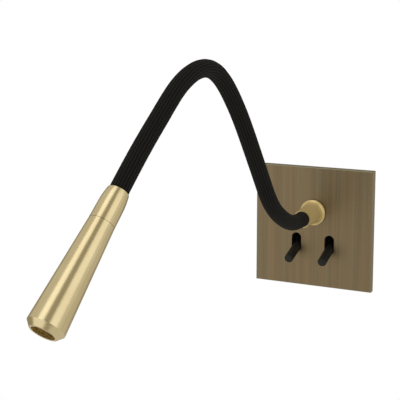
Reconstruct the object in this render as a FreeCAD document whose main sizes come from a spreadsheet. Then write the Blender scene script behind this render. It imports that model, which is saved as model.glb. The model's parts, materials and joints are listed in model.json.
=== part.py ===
import FreeCAD, Part
import math
import os
import re

import Sketcher

# Wall reading lamp: a square plate with two toggle switches, a sleeved
# gooseneck that leaves it through a flared collar, and a slim turned head.
# Millimetres. Origin at the middle of the plate, on the wall's surface:
# +X right, +Y into the wall, +Z up, so the room is on the -Y side.

doc = FreeCAD.newDocument("ReadingLamp")

# ---------------------------------------------------------------- sizes

SIZES = [
    # the plate and what is screwed to the wall box
    ("plate_side", 80.0, "side of the square front plate"),
    ("plate_thickness", 5.0, "front plate, wall to front face"),
    ("plate_skin", 2.0, "metal left in front of the plate's recess"),
    ("plate_rim", 2.5, "rim round the plate's recess"),
    ("plate_bevel", 0.5, "bevel round the plate's front face"),
    ("frame_sheet", 1.5, "steel sheet of the support frame"),
    ("frame_gap", 0.5, "gap between support frame and plate rim"),
    ("box_screw_spacing", 60.0, "wall box screws, centre to centre"),
    ("box_slot_width", 4.0, "slot for a wall box screw"),
    ("box_slot_length", 8.0, "slot for a wall box screw, end to end"),
    ("magnet_diameter", 8.0, "disc magnet that holds the plate"),
    ("magnet_place", 28.0, "magnet centre from the plate's middle"),
    # the toggles and their switches
    ("toggle_spacing", 22.7, "toggle to toggle"),
    ("toggle_drop", 11.2, "toggle pivots below the plate's middle"),
    ("pivot_depth", 6.0, "toggle pivots behind the wall's surface"),
    ("toggle_diameter", 5.7, "toggle lever"),
    ("toggle_reach", 28.3, "toggle pivot to the lever's tip"),
    ("toggle_round", 1.4, "rounding of the lever's tip"),
    ("toggle_tilt", 16.7, "degrees of the lever below level at rest"),
    ("slot_gap", 0.45, "gap beside a lever in its slot"),
    ("slot_end_gap", 0.25, "gap at a lever's stop in its slot"),
    ("hub_diameter", 7.2, "hub of a lever"),
    ("hub_width", 7.0, "hub of a lever, along its pin"),
    ("tail_diameter", 5.0, "tail of a lever behind its pin"),
    ("tail_length", 6.2, "tail of a lever behind its pin"),
    ("plunger_diameter", 2.3, "sprung plunger in a lever's tail"),
    ("plunger_reach", 7.6, "plunger's tip behind the pin"),
    ("plunger_length", 3.4, "plunger, end to tip"),
    ("spring_length", 1.8, "plunger spring as fitted"),
    ("spring_wire", 0.4, "plunger spring's wire"),
    ("running_gap", 0.05, "radial clearance of a pin in its bore"),
    ("pin_diameter", 2.0, "lever's pivot pin"),
    ("rocker_pin_diameter", 1.2, "rocker contact's pin"),
    ("rocker_depth", 15.6, "rocker contact's pin behind the wall's surface"),
    ("rocker_tilt", 8.0, "degrees of the rocker contact at rest"),
    ("rocker_strip", 0.8, "rocker contact's strip"),
    ("rocker_length", 11.0, "rocker contact's strip, end to end"),
    ("rocker_width", 4.0, "rocker contact's strip, across"),
    ("rocker_boss", 2.4, "boss round the rocker contact's pin"),
    ("switch_width", 14.0, "switch body, across"),
    ("switch_height", 17.0, "switch body, up"),
    ("switch_depth", 19.0, "switch body, behind the frame"),
    ("switch_floor", 1.5, "back wall of a switch body"),
    ("switch_cap", 1.2, "upper and lower wall of a switch body"),
    ("hub_side_gap", 0.3, "gap at each end of a lever's hub"),
    ("contact_gap", 0.15, "fixed contact behind the rocker's end"),
    ("contact_width", 3.0, "fixed contact, across"),
    ("contact_height", 2.4, "fixed contact, up"),
    ("terminal_depth", 3.2, "terminal of a switch, behind its body"),
    ("terminal_height", 5.0, "terminal of a switch, up"),
    ("terminal_width", 5.0, "terminal of a switch, across"),
    # the housing behind the plate and what is in it
    ("housing_clearance", 0.28, "gap from a switch body's corner to the rear housing"),
    ("flat_gap", 0.8, "gap from a box screw's slot to the rear housing's flat"),
    ("housing_wall", 1.4, "wall of the rear housing"),
    ("housing_depth", 30.4, "rear housing behind the wall's surface"),
    ("boss_diameter", 4.8, "screw boss in the rear housing"),
    ("boss_inset", 1.8, "screw boss's centre inside the housing's flat wall"),
    ("boss_depth", 12.0, "screw boss, behind the wall's surface"),
    ("screw_diameter", 2.0, "housing screw"),
    ("screw_length", 9.5, "housing screw under its head"),
    ("screw_head_diameter", 3.8, "housing screw's head"),
    ("screw_head_height", 1.1, "housing screw's head"),
    ("screw_slot", 0.5, "slot in a screw's head"),
    ("screw_fit", 0.03, "radial clearance of a screw in its hole"),
    ("screw_end_gap", 0.5, "room past a screw's end in its hole"),
    ("inlet_drop", 4.5, "mains inlet below the plate's middle"),
    ("inlet_diameter", 7.0, "mains inlet's hole"),
    ("grommet_bore", 5.0, "grommet's bore"),
    ("grommet_flange", 8.6, "grommet's flange"),
    ("grommet_lip", 1.0, "grommet's flange, thickness"),
    ("driver_width", 34.0, "lamp driver's case, across"),
    ("driver_height", 18.0, "lamp driver's case, up"),
    ("driver_depth", 16.0, "lamp driver's case, front to back"),
    ("driver_wall", 1.2, "wall of the driver's case"),
    ("board_thickness", 1.2, "circuit board"),
    ("board_gap", 0.4, "gap round a circuit board"),
    ("board_post", 1.6, "height of a board's posts"),
    ("board_post_diameter", 2.4, "a board's post"),
    ("board_inset", 1.0, "what is on a board, from the board's edge"),
    ("transformer_side", 9.0, "driver's transformer"),
    ("transformer_height", 7.0, "driver's transformer"),
    ("capacitor_diameter", 6.5, "driver's capacitor"),
    ("capacitor_height", 8.0, "driver's capacitor"),
    ("block_width", 24.0, "mains terminal block, across"),
    ("block_height", 10.0, "mains terminal block, up"),
    ("block_gap", 0.8, "mains terminal block behind the switches' terminals"),
    ("block_drop", 15.0, "mains terminal block below the middle"),
    ("pole_count", 3.0, "poles of the mains terminal block"),
    ("block_screw_diameter", 3.0, "terminal screw"),
    ("block_screw_length", 2.2, "terminal screw"),
    ("block_screw_depth", 0.3, "terminal screw's head below the block's face"),
    # the collar and the stem
    ("neck_height", 10.0, "neck's axis above the plate's middle"),
    ("collar_diameter", 17.0, "flared collar at the plate"),
    ("collar_edge", 0.8, "straight edge of the collar's base"),
    ("collar_mouth_diameter", 11.2, "flared collar where the neck leaves"),
    ("collar_length", 22.4, "flared collar"),
    ("collar_waist_diameter", 13.4, "flared collar where its flare begins"),
    ("collar_flare", 3.5, "collar's flare, from the plate"),
    ("collar_sweep", 2.8, "radius of the collar's hollow flare"),
    ("collar_washer_diameter", 15.6, "fibre washer under the collar"),
    ("collar_washer", 0.6, "fibre washer under the collar"),
    ("collar_gap", 0.15, "radial gap of the collar round the neck"),
    ("stem_front", 14.0, "threaded stem in front of the wall's surface"),
    ("stem_back", 8.0, "threaded stem behind the wall's surface"),
    ("stem_hole_gap", 0.2, "radial gap of the stem in plate and frame"),
    ("washer_diameter", 17.0, "washer behind the frame"),
    ("washer_thickness", 0.8, "washer behind the frame"),
    ("nut_flats", 14.0, "stem nut across its flats"),
    ("nut_thickness", 4.0, "stem nut"),
    # the neck
    ("sleeve_diameter", 9.8, "braided sleeve"),
    ("core_diameter", 8.0, "wound steel core"),
    ("core_bore", 5.4, "bore of the core"),
    ("lead_diameter", 3.4, "lamp's lead"),
    ("sleeve_gap", 0.05, "radial gap of the core in sleeve and sockets"),
    ("lead_gap", 0.3, "radial gap of the lead in holes"),
    ("joint_gap", 0.3, "gap between two stretches of the neck"),
    ("neck_swing", 25.0, "degrees each way at a bending place of the neck"),
    ("side_angle_low", 6.4, "degrees to the left at the first bending place"),
    ("side_angle_high", 4.3, "degrees to the left at the last bending place"),
    ("stretch_1", 37.4, "neck, collar to the first bending place"),
    ("stretch_2", 28.0, "neck, next stretch"),
    ("stretch_3", 44.0, "neck, next stretch"),
    ("stretch_4", 34.5, "neck, next stretch"),
    ("stretch_5", 40.2, "neck, top of the arch"),
    ("stretch_6", 28.0, "neck, next stretch"),
    ("stretch_7", 54.4, "neck, last bending place to the head"),
    ("turn_angle_1", 25.6, "degrees up in stretch 1"),
    ("turn_angle_2", 34.7, "degrees up in stretch 2"),
    ("turn_angle_3", 0.8, "degrees down in stretch 3"),
    ("turn_angle_4", 11.1, "degrees down in stretch 4"),
    ("turn_angle_5", 66.3, "degrees down in stretch 5"),
    ("turn_angle_6", 22.5, "degrees down in stretch 6"),
    ("turn_angle_7", 4.6, "degrees down in stretch 7"),
    ("bend_1", 47.4, "bend radius of stretch 1"),
    ("bend_2", 33.0, "bend radius of stretch 2"),
    ("bend_3", 400.0, "bend radius of stretch 3"),
    ("bend_4", 137.0, "bend radius of stretch 4"),
    ("bend_5", 27.8, "bend radius of stretch 5"),
    ("bend_6", 48.3, "bend radius of stretch 6"),
    ("bend_7", 344.0, "bend radius of stretch 7"),
    # the head, measured along its axis from its rear lip
    ("cap_lip_diameter", 10.9, "rear cap where the neck enters"),
    ("cap_shoulder", 8.5, "length of the rear cap's rounded shoulder"),
    ("cap_shoulder_diameter", 12.7, "rear cap past its shoulder"),
    ("cap_sweep", 45.0, "radius of the rear cap's shoulder"),
    ("cap_length", 17.5, "rear cap"),
    ("seam_diameter", 13.0, "head at the seam of cap and shell"),
    ("seam_gap", 0.15, "width of the seam"),
    ("head_diameter", 18.4, "head at its widest, near the front"),
    ("head_length", 74.3, "head, rear lip to front face"),
    ("nose_length", 2.7, "bevel at the front, along the axis"),
    ("nose_diameter", 13.7, "front face"),
    ("mouth_diameter", 11.4, "light opening"),
    ("sleeve_entry", 4.2, "sleeve's end in the rear cap"),
    ("socket_end", 24.0, "end of the neck socket"),
    ("socket_wall", 0.95, "wall of the neck socket"),
    ("core_entry", 20.0, "core's end in the neck socket"),
    ("mouth_fit", 0.05, "radial fit of what slides in the shell"),
    ("ring_depth", 3.0, "lens ring behind the front face"),
    ("ring_thickness", 1.5, "lens ring"),
    ("ring_bore", 9.8, "lens ring"),
    ("lens_thickness", 1.5, "lens"),
    ("reflector_length", 11.0, "reflector"),
    ("reflector_front_diameter", 10.4, "reflector at the lens"),
    ("reflector_rear_diameter", 5.2, "reflector at the lamp chip"),
    ("led_board_thickness", 1.2, "lamp chip's board"),
    ("chip_side", 3.2, "lamp chip"),
    ("chip_thickness", 0.9, "lamp chip"),
    ("fin_count", 8.0, "grooves along the heat sink"),
    ("fin_groove", 1.2, "width of a heat sink's groove"),
    ("fin_depth", 2.0, "depth of a heat sink's groove"),
    ("sink_start", 26.0, "rear end of the heat sink"),
    ("cut_past", 1.0, "how far a cut runs on past the face that it opens"),
]

sheet = doc.addObject("Spreadsheet::Sheet", "Sizes")
for row, (alias, size, note) in enumerate(SIZES, start=1):
    sheet.set("A%d" % row, alias)
    sheet.set("B%d" % row, str(size))
    sheet.setAlias("B%d" % row, alias)
    sheet.set("C%d" % row, note)
doc.recompute()
ALIASES = {alias for alias, size, note in SIZES}


def bound(text):
    """A formula of size names as an expression on the sheet."""
    return re.sub(r"[a-z]\w*", lambda word: "Sizes." + word[0] if word[0] in ALIASES else word[0], text)


def size(text):
    """The value of a formula of size names."""
    result = sheet.evalExpression(bound(text))
    return float(getattr(result, "Value", result))


# Formulas that several pieces share.
FRAME_SIDE = "(plate_side - 2 * plate_rim - 2 * frame_gap)"
TOGGLE_X = "(toggle_spacing / 2)"
SLOT_WIDTH = "(toggle_diameter + 2 * slot_gap)"
SLOT_HEIGHT = ("(2 * ((pivot_depth + plate_thickness) * tan(toggle_tilt * 1 deg)"
               " + toggle_diameter / 2 / cos(toggle_tilt * 1 deg) + slot_end_gap))")
STEM_HOLE = "(sleeve_diameter / 2 + stem_hole_gap)"
COLLAR_BACK = "(plate_thickness + collar_washer)"
COLLAR_FRONT = "(plate_thickness + collar_washer + collar_length)"
HOUSING_RADIUS = ("(sqrt((toggle_spacing / 2 + switch_width / 2)^2 + (toggle_drop + switch_height / 2)^2)"
                  " + housing_clearance + housing_wall)")
HOUSING_FLAT = "((box_screw_spacing - box_slot_length) / 2 - flat_gap)"
BOSS_X = "((box_screw_spacing - box_slot_length) / 2 - flat_gap - housing_wall - boss_inset)"
HOUSING_FLOOR = "(housing_depth - housing_wall)"
DRIVER_FRONT = "(housing_depth - housing_wall - driver_depth)"
DRIVER_BOARD = "(housing_depth - housing_wall - driver_wall - board_post - board_thickness)"
SOCKET_BORE = "(core_diameter / 2 + sleeve_gap)"
SOCKET_OUTER = "(core_diameter / 2 + sleeve_gap + socket_wall)"
RING_BACK = "(head_length - ring_depth - ring_thickness)"
LENS_BACK = "(head_length - ring_depth - ring_thickness - lens_thickness)"
LED_FACE = "(head_length - ring_depth - ring_thickness - lens_thickness - reflector_length)"
SINK_END = ("(head_length - ring_depth - ring_thickness - lens_thickness - reflector_length"
            " - led_board_thickness)")

# Turns a piece made along +Z so that it points out of the wall, along -Y.
TO_ROOM = FreeCAD.Rotation(FreeCAD.Vector(1, 0, 0), 90)
# Turns a piece made along +Z so that it points into the wall, along +Y.
TO_WALL = FreeCAD.Rotation(FreeCAD.Vector(1, 0, 0), -90)
# Turns a piece made along +Z so that it lies along +X.
TO_RIGHT = FreeCAD.Rotation(FreeCAD.Vector(0, 1, 0), 90)
UPRIGHT = FreeCAD.Rotation()

parts = []


def sub_part(made, label):
    """Names a finished piece of the lamp."""
    made.Label = label
    parts.append(made)
    return made


def place(made, x="0", y="0", z="0", turn=UPRIGHT):
    """Puts an object at a place given by formulas, turned as told."""
    made.Placement = FreeCAD.Placement(FreeCAD.Vector(), turn)
    for axis, text in zip("xyz", (x, y, z)):
        if text != "0":
            made.setExpression("Placement.Base." + axis, bound(text))
    return made


# ---------------------------------------------------------------- makers

def primitive(kind, name, at=("0", "0", "0"), turn=UPRIGHT, **lengths):
    """A Part primitive whose lengths are formulas."""
    made = doc.addObject("Part::" + kind, name)
    for length, text in lengths.items():
        made.setExpression(length, bound(text))
    return place(made, *at, turn=turn)


def box(name, low, spans):
    """A box from its low corner and its three spans, all formulas."""
    return primitive("Box", name, low, Length=spans[0], Width=spans[1], Height=spans[2])


def rod(name, radius, length, at=("0", "0", "0"), turn=TO_ROOM):
    """A cylinder that starts at a place and points as turned."""
    return primitive("Cylinder", name, at, turn, Radius=radius, Height=length)


def cut(name, base, *tools):
    """The base without the tools."""
    made = doc.addObject("Part::Cut", name)
    made.Base = base
    made.Tool = tools[0] if len(tools) == 1 else fuse(name + "_tools", *tools)
    return made


def fuse(name, *pieces):
    """Several solids as one."""
    made = doc.addObject("Part::MultiFuse", name)
    made.Shapes = list(pieces)
    return made


def group(name, *pieces):
    """Several like solids that stay apart, kept as one node."""
    made = doc.addObject("Part::Compound", name)
    made.Links = list(pieces)
    return made


def origin_plane(body, role):
    """One of a body's own three planes."""
    return next(item for item in body.Origin.OriginFeatures if item.Role == role)


def outline(body, name, role, corners, arcs=None):
    """A closed outline in one of a body's planes. Its corners are held from
    the origin by formulas; arcs holds, for the side after a corner, the
    formula of its radius and on which side of the chord it bulges."""
    arcs = arcs or {}
    sketch = body.newObject("Sketcher::SketchObject", name)
    sketch.AttachmentSupport = [(origin_plane(body, role), "")]
    sketch.MapMode = "FlatFace"
    points = [FreeCAD.Vector(size(across), size(up), 0) for across, up in corners]
    ends = []
    for index, point in enumerate(points):
        after = points[(index + 1) % len(points)]
        if index in arcs:
            radius, side = size(arcs[index][0]), arcs[index][1]
            chord = after - point
            rise = radius - math.sqrt(radius ** 2 - chord.Length ** 2 / 4)
            normal = FreeCAD.Vector(-chord.y, chord.x, 0).normalize()
            middle = (point + after) / 2 + normal * rise * side
            anticlockwise = (middle - point).cross(after - point).z > 0
            first, last = (point, after) if anticlockwise else (after, point)
            number = sketch.addGeometry(Part.Arc(first, middle, last), False)
            ends.append((number, 1, 2) if anticlockwise else (number, 2, 1))
        else:
            number = sketch.addGeometry(Part.LineSegment(point, after), False)
            ends.append((number, 1, 2))
    for index, (across, up) in enumerate(corners):
        number, start, end = ends[index]
        before = ends[index - 1]
        sketch.addConstraint(Sketcher.Constraint("Coincident", before[0], before[2], number, start))
        for kind, text, axis, held in (("DistanceX", across, -2, points[index].x),
                                       ("DistanceY", up, -1, points[index].y)):
            if text == "0":
                sketch.addConstraint(Sketcher.Constraint("PointOnObject", number, start, axis))
            else:
                held_at = sketch.addConstraint(Sketcher.Constraint(kind, -1, 1, number, start, held))
                sketch.setExpression("Constraints[%d]" % held_at, bound(text))
    for index, (radius, side) in arcs.items():
        held_at = sketch.addConstraint(Sketcher.Constraint("Radius", ends[index][0], size(radius)))
        sketch.setExpression("Constraints[%d]" % held_at, bound(radius))
    return sketch


def turned(name, corners, arcs=None):
    """A body turned about its own Z axis from an outline of (radius, height)."""
    body = doc.addObject("PartDesign::Body", name)
    profile = outline(body, name + "_profile", "XZ_Plane", corners, arcs)
    solid = body.newObject("PartDesign::Revolution", name + "_turning")
    solid.Profile = profile
    solid.ReferenceAxis = (profile, ["V_Axis"])
    solid.Angle = 360
    profile.Visibility = False
    body.Tip = solid
    return body


def ring(name, outer, inner, thickness):
    """A flat ring on its own XY plane."""
    return turned(name, [(inner, "0"), (outer, "0"), (outer, thickness), (inner, thickness)])


def tube(name, outer, inner, start, end):
    """A straight tube along its own Z axis, between two heights."""
    return turned(name, [(inner, start), (outer, start), (outer, end), (inner, end)])


def stadium(name, width, height, depth, at, upright=True):
    """A slot-shaped block with round ends, through the wall's direction."""
    x, y, z = at
    across, up = (width, "(%s - %s)" % (height, width)) if upright else ("(%s - %s)" % (height, width), width)
    middle = box(name + "_middle", ("%s - %s / 2" % (x, across), y, "%s - %s / 2" % (z, up)),
                 (across, depth, up))
    ends = []
    for number, sign in enumerate("+-"):
        shift = "%s (%s - %s) / 2" % (sign, height, width)
        end_at = (x, y, z + shift) if upright else (x + shift, y, z)
        ends.append(rod("%s_end_%d" % (name, number), width + " / 2", depth, end_at, TO_WALL))
    return fuse(name, middle, *ends)


# ---------------------------------------------------------------- plate

def front_plate():
    """Square plate with a bevelled front, a recess behind, two slots and a hole."""
    body = doc.addObject("PartDesign::Body", "Plate")
    half = "plate_side / 2"
    square = [("-" + half, "-" + half), (half, "-" + half), (half, half), ("-" + half, half)]
    face = outline(body, "Plate_face", "XZ_Plane", square)
    slab = body.newObject("PartDesign::Pad", "Plate_slab")
    slab.Profile = face
    slab.setExpression("Length", bound("plate_thickness"))
    body.Tip = slab
    doc.recompute()
    if slab.Shape.BoundBox.YMin > -1e-6:
        slab.Reversed = True
        doc.recompute()
    front = next("Face%d" % (i + 1) for i, f in enumerate(slab.Shape.Faces)
                 if f.CenterOfMass.y < -size("plate_thickness") + 1e-6)
    bevel = body.newObject("PartDesign::Chamfer", "Plate_bevel")
    bevel.Base = (slab, [front])
    bevel.setExpression("Size", bound("plate_bevel"))
    body.Tip = bevel
    inner = "(plate_side / 2 - plate_rim)"
    recess = box("Plate_recess", ("-" + inner, "plate_skin - plate_thickness", "-" + inner),
                 ("2 * " + inner, "plate_thickness", "2 * " + inner))
    slots = [stadium("Plate_slot_" + side, SLOT_WIDTH, SLOT_HEIGHT, "2 * plate_thickness",
                     (sign + TOGGLE_X, "-1.5 * plate_thickness", "-toggle_drop"))
             for side, sign in (("left", "-"), ("right", ""))]
    hole = rod("Plate_hole", STEM_HOLE, "3 * plate_thickness", ("0", "plate_thickness", "neck_height"))
    return sub_part(cut("Plate_cut", body, recess, hole, *slots), "front_plate")


def plate_magnets():
    """Four disc magnets between the plate's skin and the steel frame."""
    discs = []
    for number, (x, z) in enumerate((("-", "-"), ("-", ""), ("", "-"), ("", ""))):
        discs.append(rod("Magnet_%d" % number, "magnet_diameter / 2",
                         "plate_thickness - plate_skin - frame_sheet",
                         (x + "magnet_place", "-frame_sheet", z + "magnet_place")))
    return sub_part(group("Magnets", *discs), "plate_magnets")


def support_frame():
    """Steel sheet that is screwed to the wall box and carries all the rest."""
    half = FRAME_SIDE + " / 2"
    sheet_metal = box("Frame_sheet", ("-" + half, "-frame_sheet", "-" + half),
                      (FRAME_SIDE, "frame_sheet", FRAME_SIDE))
    holes = [rod("Frame_stem_hole", STEM_HOLE, "3 * frame_sheet", ("0", "frame_sheet", "neck_height"))]
    for side, sign in (("left", "-"), ("right", "")):
        holes.append(stadium("Frame_window_" + side, SLOT_WIDTH, SLOT_HEIGHT, "3 * frame_sheet",
                             (sign + TOGGLE_X, "-2 * frame_sheet", "-toggle_drop")))
        holes.append(stadium("Frame_slot_" + side, "box_slot_width", "box_slot_length",
                             "3 * frame_sheet", (sign + "box_screw_spacing / 2", "-2 * frame_sheet", "0"),
                             upright=False))
        holes.append(rod("Frame_screw_hole_" + side, "(screw_diameter / 2 + screw_fit)", "3 * frame_sheet",
                         (sign + BOSS_X, "frame_sheet", "0")))
    return sub_part(cut("Frame", sheet_metal, *holes), "support_frame")


# ---------------------------------------------------------------- switches

def switch(side, sign):
    """One toggle switch: its body, lever, plunger, spring and contacts."""
    x = sign + TOGGLE_X
    z = "-toggle_drop"
    cavity_half = "(hub_width / 2 + hub_side_gap)"
    cavity_up = "(switch_height / 2 - switch_cap)"
    pad_z = "(rocker_length / 2 - contact_height / 2)"
    pad_y = ("(rocker_depth - rocker_boss / 2 * cos(rocker_tilt * 1 deg)"
             " + rocker_length / 2 * tan(rocker_tilt * 1 deg) + contact_gap + rocker_strip / 2)")

    shell = box("Switch_block_" + side, (x + " - switch_width / 2", "0", z + " - switch_height / 2"),
                ("switch_width", "switch_depth", "switch_height"))
    cavity = box("Switch_cavity_" + side, (x + " - " + cavity_half, "-cut_past", z + " - " + cavity_up),
                 ("2 * " + cavity_half, "switch_depth - switch_floor + cut_past", "2 * " + cavity_up))
    pin_hole = rod("Switch_pin_hole_" + side, "(pin_diameter / 2 + screw_fit)", "switch_width",
                   (x + " - switch_width / 2", "pivot_depth", z), TO_RIGHT)
    rocker_hole = rod("Switch_rocker_hole_" + side, "(rocker_pin_diameter / 2 + screw_fit)", "switch_width",
                      (x + " - switch_width / 2", "rocker_depth", z), TO_RIGHT)
    windows = []
    for number, edge in enumerate((" + ", " - ")):
        windows.append(box("Switch_window_%s_%d" % (side, number),
                           (x + " - contact_width / 2 - slot_end_gap", "switch_depth - 2 * switch_floor",
                            z + edge + pad_z + " - contact_height / 2 - slot_end_gap"),
                           ("contact_width + 2 * slot_end_gap", "3 * switch_floor",
                            "contact_height + 2 * slot_end_gap")))
    sub_part(cut("Switch_" + side, shell, cavity, pin_hole, rocker_hole, *windows), "switch_body_" + side)

    contacts = []
    for number, edge in enumerate((" + ", " - ")):
        pad = box("Contact_pad_%s_%d" % (side, number),
                  (x + " - contact_width / 2", pad_y, z + edge + pad_z + " - contact_height / 2"),
                  ("contact_width", "switch_depth - " + pad_y, "contact_height"))
        block = box("Contact_block_%s_%d" % (side, number),
                    (x + " - terminal_width / 2", "switch_depth",
                     z + edge + pad_z + " - terminal_height / 2"),
                    ("terminal_width", "terminal_depth", "terminal_height"))
        contacts.append(fuse("Contact_%s_%d" % (side, number), pad, block))
    sub_part(group("Contacts_" + side, *contacts), "switch_contacts_" + side)

    # The lever is made along +Z with its pin at the origin, then laid over.
    lean = FreeCAD.Rotation(FreeCAD.Vector(1, 0, 0), 90 + size("toggle_tilt"))
    lever = turned("Lever_shaft_" + side,
                   [("0", "-tail_length"), ("tail_diameter / 2", "-tail_length"), ("tail_diameter / 2", "0"),
                    ("toggle_diameter / 2", "0"), ("toggle_diameter / 2", "toggle_reach - toggle_round"),
                    ("toggle_diameter / 2 - toggle_round", "toggle_reach"), ("0", "toggle_reach")],
                   {4: ("toggle_round", -1)})
    hub = rod("Lever_hub_" + side, "hub_diameter / 2", "hub_width", ("-hub_width / 2", "0", "0"), TO_RIGHT)
    bore = rod("Lever_bore_" + side, "(plunger_diameter / 2 + running_gap)", "tail_length",
               ("0", "0", "-(plunger_reach - plunger_length - spring_length) - tail_length"), UPRIGHT)
    pin_bore = rod("Lever_pin_bore_" + side, "(pin_diameter / 2 + running_gap)", "2 * hub_width",
                   ("-hub_width", "0", "0"), TO_RIGHT)
    made = cut("Lever_" + side, fuse("Lever_solid_" + side, lever, hub), bore, pin_bore)
    sub_part(place(made, x, "pivot_depth", z, lean), "toggle_lever_" + side)

    plunger = turned("Plunger_" + side,
                     [("0", "-plunger_reach"),
                      ("plunger_diameter / 2", "-plunger_reach + plunger_diameter / 2"),
                      ("plunger_diameter / 2", "-plunger_reach + plunger_length"),
                      ("0", "-plunger_reach + plunger_length")],
                     {0: ("plunger_diameter / 2", -1)})
    sub_part(place(plunger, x, "pivot_depth", z, lean), "plunger_" + side)
    spring = tube("Spring_" + side, "plunger_diameter / 2", "(plunger_diameter / 2 - spring_wire)",
                  "-plunger_reach + plunger_length", "-plunger_reach + plunger_length + spring_length")
    sub_part(place(spring, x, "pivot_depth", z, lean), "plunger_spring_" + side)

    # The rocker contact is made flat on its pin, facing the lever, then tilted.
    strip = box("Rocker_strip_" + side, ("-rocker_width / 2", "-rocker_boss / 2 - rocker_strip / 2",
                                         "-rocker_length / 2"),
                ("rocker_width", "rocker_strip", "rocker_length"))
    boss = rod("Rocker_boss_" + side, "rocker_boss / 2", "rocker_width", ("-rocker_width / 2", "0", "0"),
               TO_RIGHT)
    rocker_bore = rod("Rocker_bore_" + side, "(rocker_pin_diameter / 2 + running_gap)", "2 * rocker_width",
                      ("-rocker_width", "0", "0"), TO_RIGHT)
    made = cut("Rocker_" + side, fuse("Rocker_solid_" + side, strip, boss), rocker_bore)
    tilt = FreeCAD.Rotation(FreeCAD.Vector(1, 0, 0), -size("rocker_tilt"))
    sub_part(place(made, x, "rocker_depth", z, tilt), "rocker_contact_" + side)


def switch_pins():
    """The pins of both levers and of both rocker contacts."""
    pins = []
    for name, radius, depth in (("Lever_pin", "pin_diameter / 2", "pivot_depth"),
                                ("Rocker_pin", "rocker_pin_diameter / 2", "rocker_depth")):
        pins += [rod("%s_%s" % (name, side), radius, "switch_width",
                     (sign + TOGGLE_X + " - switch_width / 2", depth, "-toggle_drop"), TO_RIGHT)
                 for side, sign in (("left", "-"), ("right", ""))]
    sub_part(group("Switch_pins", *pins), "switch_pins")


# ---------------------------------------------------------------- housing

def rear_housing():
    """Moulded cup behind the frame, with two flats that clear the box screws."""
    def block(name, shrink, low, depth):
        drum = rod(name + "_drum", "(%s - %s)" % (HOUSING_RADIUS, shrink), depth, ("0", low, "0"), TO_WALL)
        half = "(%s - %s)" % (HOUSING_FLAT, shrink)
        slab = box(name + "_slab", ("-" + half, low, "-2 * " + HOUSING_RADIUS),
                   ("2 * " + half, depth, "4 * " + HOUSING_RADIUS))
        common = doc.addObject("Part::MultiCommon", name)
        common.Shapes = [drum, slab]
        return common

    shell = cut("Housing_shell", block("Housing_outer", "0", "0", "housing_depth"),
                block("Housing_inner", "housing_wall", "-cut_past", HOUSING_FLOOR + " + cut_past"))
    bosses = [rod("Housing_boss_" + side, "boss_diameter / 2", "boss_depth",
                  (sign + BOSS_X, "0", "0"), TO_WALL) for side, sign in (("left", "-"), ("right", ""))]
    bores = [rod("Housing_bore_" + side, "(screw_diameter / 2 + screw_fit)",
                 "screw_length - frame_sheet + screw_end_gap",
                 (sign + BOSS_X, "0", "0"), TO_WALL) for side, sign in (("left", "-"), ("right", ""))]
    inlet = rod("Housing_inlet", "inlet_diameter / 2", "3 * housing_wall",
                ("0", "housing_depth - 2 * housing_wall", "-inlet_drop"), TO_WALL)
    sub_part(cut("Housing", fuse("Housing_with_bosses", shell, *bosses), inlet, *bores), "rear_housing")

    screws = []
    for side, sign in (("left", "-"), ("right", "")):
        x = sign + BOSS_X
        shank = rod("Screw_shank_" + side, "screw_diameter / 2", "screw_length", (x, "-frame_sheet", "0"),
                    TO_WALL)
        head = rod("Screw_head_" + side, "screw_head_diameter / 2", "screw_head_height",
                   (x, "-frame_sheet", "0"))
        slot = box("Screw_slot_" + side,
                   (x + " - screw_head_diameter", "-frame_sheet - 1.5 * screw_head_height", "-screw_slot / 2"),
                   ("2 * screw_head_diameter", "screw_head_height", "screw_slot"))
        screws.append(cut("Screw_" + side, fuse("Screw_solid_" + side, shank, head), slot))
    sub_part(group("Housing_screws", *screws), "housing_screws")

    grommet = turned("Grommet",
                     [("grommet_bore / 2", "-grommet_lip"), ("grommet_flange / 2", "-grommet_lip"),
                      ("grommet_flange / 2", "0"), ("inlet_diameter / 2", "0"),
                      ("inlet_diameter / 2", "housing_wall"), ("grommet_flange / 2", "housing_wall"),
                      ("grommet_flange / 2", "housing_wall + grommet_lip"),
                      ("grommet_bore / 2", "housing_wall + grommet_lip")])
    sub_part(place(grommet, "0", HOUSING_FLOOR, "-inlet_drop", TO_WALL), "cable_grommet")


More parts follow.
